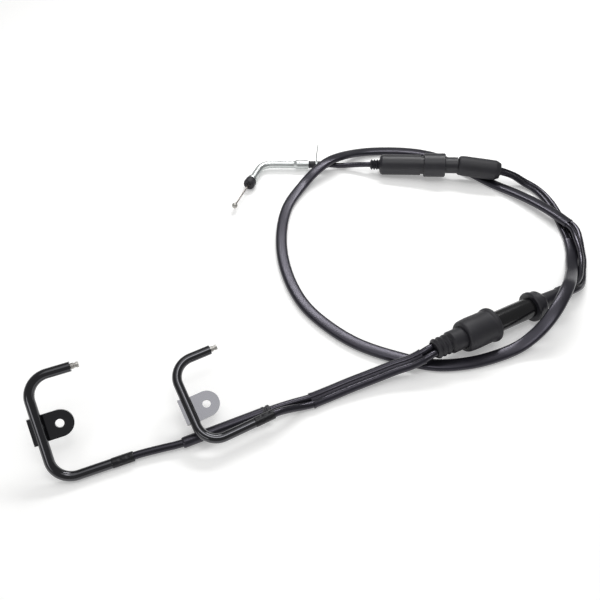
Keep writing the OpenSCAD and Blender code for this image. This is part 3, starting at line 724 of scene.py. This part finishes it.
# %% The junction's big boot
BOOT_FROM, BOOT_TO = 25, 53
boot_outside = softened([
    (BOOT_FROM, 8.6), (BOOT_FROM, 10.6), (BOOT_FROM + 1.4, 11.7), (BOOT_FROM + 5, 12.1),
    (BOOT_FROM + 9, 12.3), (BOOT_TO - 6, 12.1), (BOOT_TO - 4.2, 12.2), (BOOT_TO - 3, 13.1),
    (BOOT_TO - 1.6, 13.3), (BOOT_TO - 0.4, 13.1), (BOOT_TO, 12.2), (BOOT_TO - 0.2, 9.6),
    (BOOT_TO - 1.4, 8.4),
], 0.9)
big_boot = spun(
    "junction_big_boot", [(BOOT_FROM + 1, 8.1)] + boot_outside + [(BOOT_TO - 1.6, 8.05)],
    ON_JUNCTION, moulded_rubber, 96, bored=True,
)
stands_for(big_boot, "root", "rubber", "main_boot")
print("big boot:", BOOT_TO - BOOT_FROM, "mm long")

# %% [markdown]
# The splitter's outlet boot is a plain cylinder. It starts with an angular chamfer at the neck,
# and narrows at its far end to the mouth that the two conduits come out of.

# %% The outlet boot
outlet = spun(
    "splitter_outlet_boot",
    softened([
        (-1.3, 0), (-1.3, 7.4), (-0.6, 8.3), (1.2, 9.0), (5, 9.2), (20, 9.2), (33.4, 9.15),
        (37.4, 7.3), (38, 6.9), (38, 4.9), (37.2, 4.6), (36.8, 0),
    ], 0.5),
    ON_OUTLET_BOOT, moulded_rubber, 84,
)
stands_for(outlet, "root", "rubber", "outlet_boot")
print("outlet boot starts", OUTLET_FROM, "mm along the splitter")

# %% [markdown]
# The dust cap is a soft rubber button on the elbow's mouth. Its face has a ring-shaped groove, so
# that its middle can follow the wire, which slides through the hole in it. Six strands laid round
# a core make the wire, and a pear-shaped casting holds its end.

# %% Dust cap, wire and nipple at the grip
CAP_FROM, CAP_FRONT = 26.5, 35
cap = spun(
    "rubber_dust_cap",
    softened([
        (CAP_FROM, 3.45), (CAP_FROM, 4.6), (CAP_FROM + 0.8, 5.3), (CAP_FRONT - 2.6, 5.4),
        (CAP_FRONT - 0.9, 4.9), (CAP_FRONT - 0.6, 3.6), (CAP_FRONT - 1.3, 3.0),
        (CAP_FRONT - 1.2, 2.3), (CAP_FRONT - 0.2, 1.9), (CAP_FRONT, 1.4), (CAP_FRONT - 0.6, 1.0),
    ], 0.5) + [(29.2, 1.0), (29.2, 3.45)],
    ON_OUTLET_LEG, moulded_rubber, 64, bored=True,
)
stands_for(cap, "elbow", "rubber", "dust_cap")


OUTER_WIRES, RING_EVERY, GROOVE_FLOOR = 6, 0.45, 0.84


def strand(name, start, end, radius, at, lay_length, sides=48):
    """Outer wires laid round a core, each turning once in lay_length, in millimetres."""
    rings = []
    count = int((end - start) / RING_EVERY)
    for i in range(count + 1):
        x = start + (end - start) * i / count
        ring = []
        for k in range(sides):
            a = 2 * pi * k / sides
            r = radius * (GROOVE_FLOOR + (1 - GROOVE_FLOOR) * abs(cos(OUTER_WIRES / 2 * a)) ** 0.6)
            turn = a + 2 * pi * (x - start) / lay_length
            ring.append(at @ Vector((x * MM, r * MM * cos(turn), r * MM * sin(turn))))
        rings.append(ring)
    return rings_to_mesh(name, rings, galvanised_wire)


pull = strand("grip_wire_strand", CAP_FRONT - 8, CAP_FRONT + 27, 0.75, ON_OUTLET_LEG, 9)
stands_for(pull, "pull", "wire_strand", "pull_wire")

PEAR = CAP_FRONT + 26.4
pear = spun(
    "pear_nipple",
    [(PEAR + 0.6, 0), (PEAR + 0.6, 1.0), (PEAR + 1.2, 1.25), (PEAR + 2.1, 1.75)]
    + [(PEAR + 4.2 - 2.6 * cos(radians(a)), 2.6 * sin(radians(a))) for a in range(52, 180, 8)]
    + [(PEAR + 6.8, 0)],
    ON_OUTLET_LEG, cast_zinc, 48,
)
stands_for(pear, "pull", "die_cast_zinc", "pull_nipple")
print("grip end:", cap.name, pull.name, pear.name)

# %% [markdown]
# Each carburettor pipe ends in a steel ferrule, which a hexagonal die has pressed on to the
# conduit in two places. It is hardly thicker than the pipe, and the die leaves six short dents
# in each band, which is how a mechanic knows the joint is sound.

# %% Crimped ferrules
FERRULE_FROM, FERRULE_LENGTH = 35, 14
FERRULE_RADIUS, END_RADIUS = 3.42, 3.3
BANDS, BAND_HALF_WIDTH, DENT_DEPTH = (5.4, 10.4), 1.3, 0.32
DENTS, EDGE_LENGTH = 6, 0.5


def crimped(name, at, sides=72, steps=56):
    """A sleeve with two bands of dents, as rings along X, in millimetres."""
    rings = []
    for i in range(steps + 1):
        x = FERRULE_LENGTH * i / steps
        edge = min(x, FERRULE_LENGTH - x)
        base = END_RADIUS + (FERRULE_RADIUS - END_RADIUS) * min(1, edge / EDGE_LENGTH)
        press = sum(max(0, 1 - ((x - band) / BAND_HALF_WIDTH) ** 2) for band in BANDS)
        ring = []
        for k in range(sides):
            a = 2 * pi * k / sides
            r = base - DENT_DEPTH * press * max(0, cos(DENTS * a))
            ring.append(at @ Vector(((FERRULE_FROM + x) * MM, r * MM * cos(a), r * MM * sin(a))))
        rings.append(ring)
    return rings_to_mesh(name, rings, black_ferrule)


ON_HOOK_A = placed((-172.8, -164.8, 3.55), 21.5) @ Matrix.Rotation(radians(45), 4, "X")
ON_HOOK_B = placed((-80.5, -143.5, 11), 28.5) @ Matrix.Rotation(radians(20), 4, "X")
stands_for(crimped("far_pipe_ferrule", ON_HOOK_A), "root", "black_ferrule", "crimp_a")
stands_for(crimped("near_pipe_ferrule", ON_HOOK_B), "root", "black_ferrule", "crimp_b")
print("ferrules:", FERRULE_LENGTH, "mm long, with", DENTS, "dents in each of", len(BANDS), "bands")
